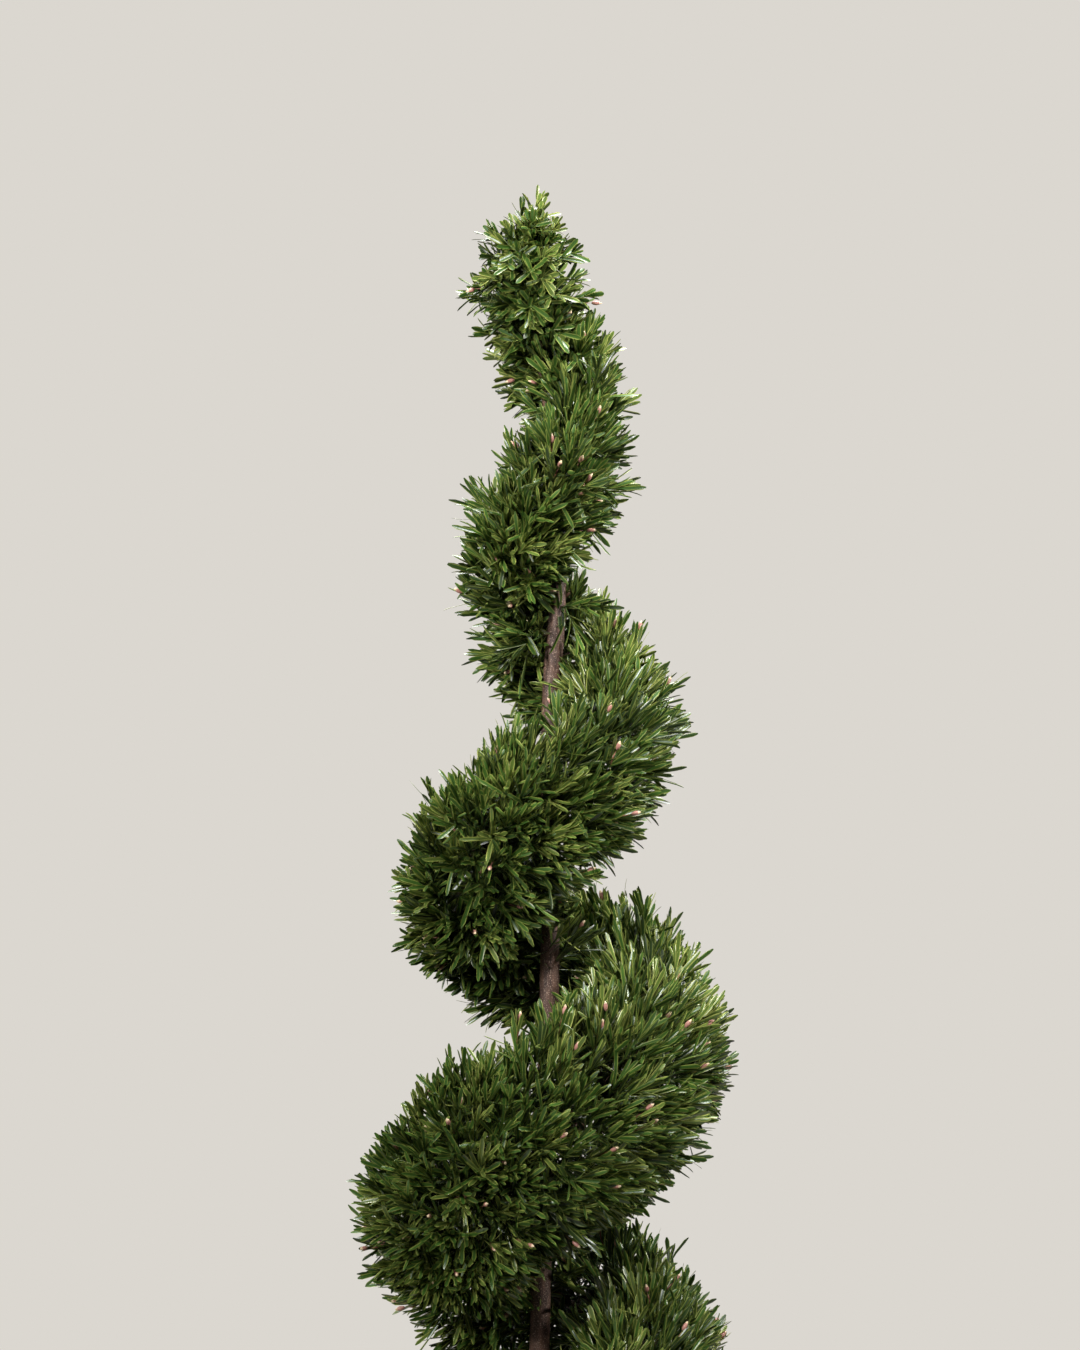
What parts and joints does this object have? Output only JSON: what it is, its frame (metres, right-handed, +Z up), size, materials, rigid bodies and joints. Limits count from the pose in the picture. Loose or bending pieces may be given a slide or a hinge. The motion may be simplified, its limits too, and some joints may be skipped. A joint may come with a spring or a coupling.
{
  "type": "artificial spiral topiary in a plain pot",
  "caption": "Artificial spiral topiary: a slim brown trunk in a round dark pot, with one clipped band of narrow green leaves winding up it, widest at the foot.",
  "frame": {"origin": "centre of the pot's flat underside, on the ground", "axes": "+Z up along the trunk; -Y towards a viewer in front; +X to that viewer's right"},
  "size_m": [0.3277, 0.3214, 1.498],
  "materials": {
    "pot": "matte, moulded",
    "fill": "rough, set fill under a dry dressing",
    "bark": "moulded bark, satin",
    "leaf": "narrow glossy leaves"
  },
  "bodies": {
    "root": {"pot": "pot", "pot_fill": "fill", "trunk": "bark", "foot_bough": "bark", "tip_tuft": "leaf", "coil_1_back": "leaf", "coil_1_right": "leaf", "coil_1_front": "leaf", "coil_1_left": "leaf", "coil_2_back": "leaf", "coil_2_right": "leaf", "coil_2_front": "leaf", "coil_2_left": "leaf", "coil_3_back": "leaf", "coil_3_right": "leaf", "coil_3_front": "leaf", "coil_3_left": "leaf", "coil_4_back": "leaf", "coil_4_right": "leaf", "coil_4_front": "leaf", "coil_4_left": "leaf", "tail_tuft": "leaf"}
  },
  "joints": []
}
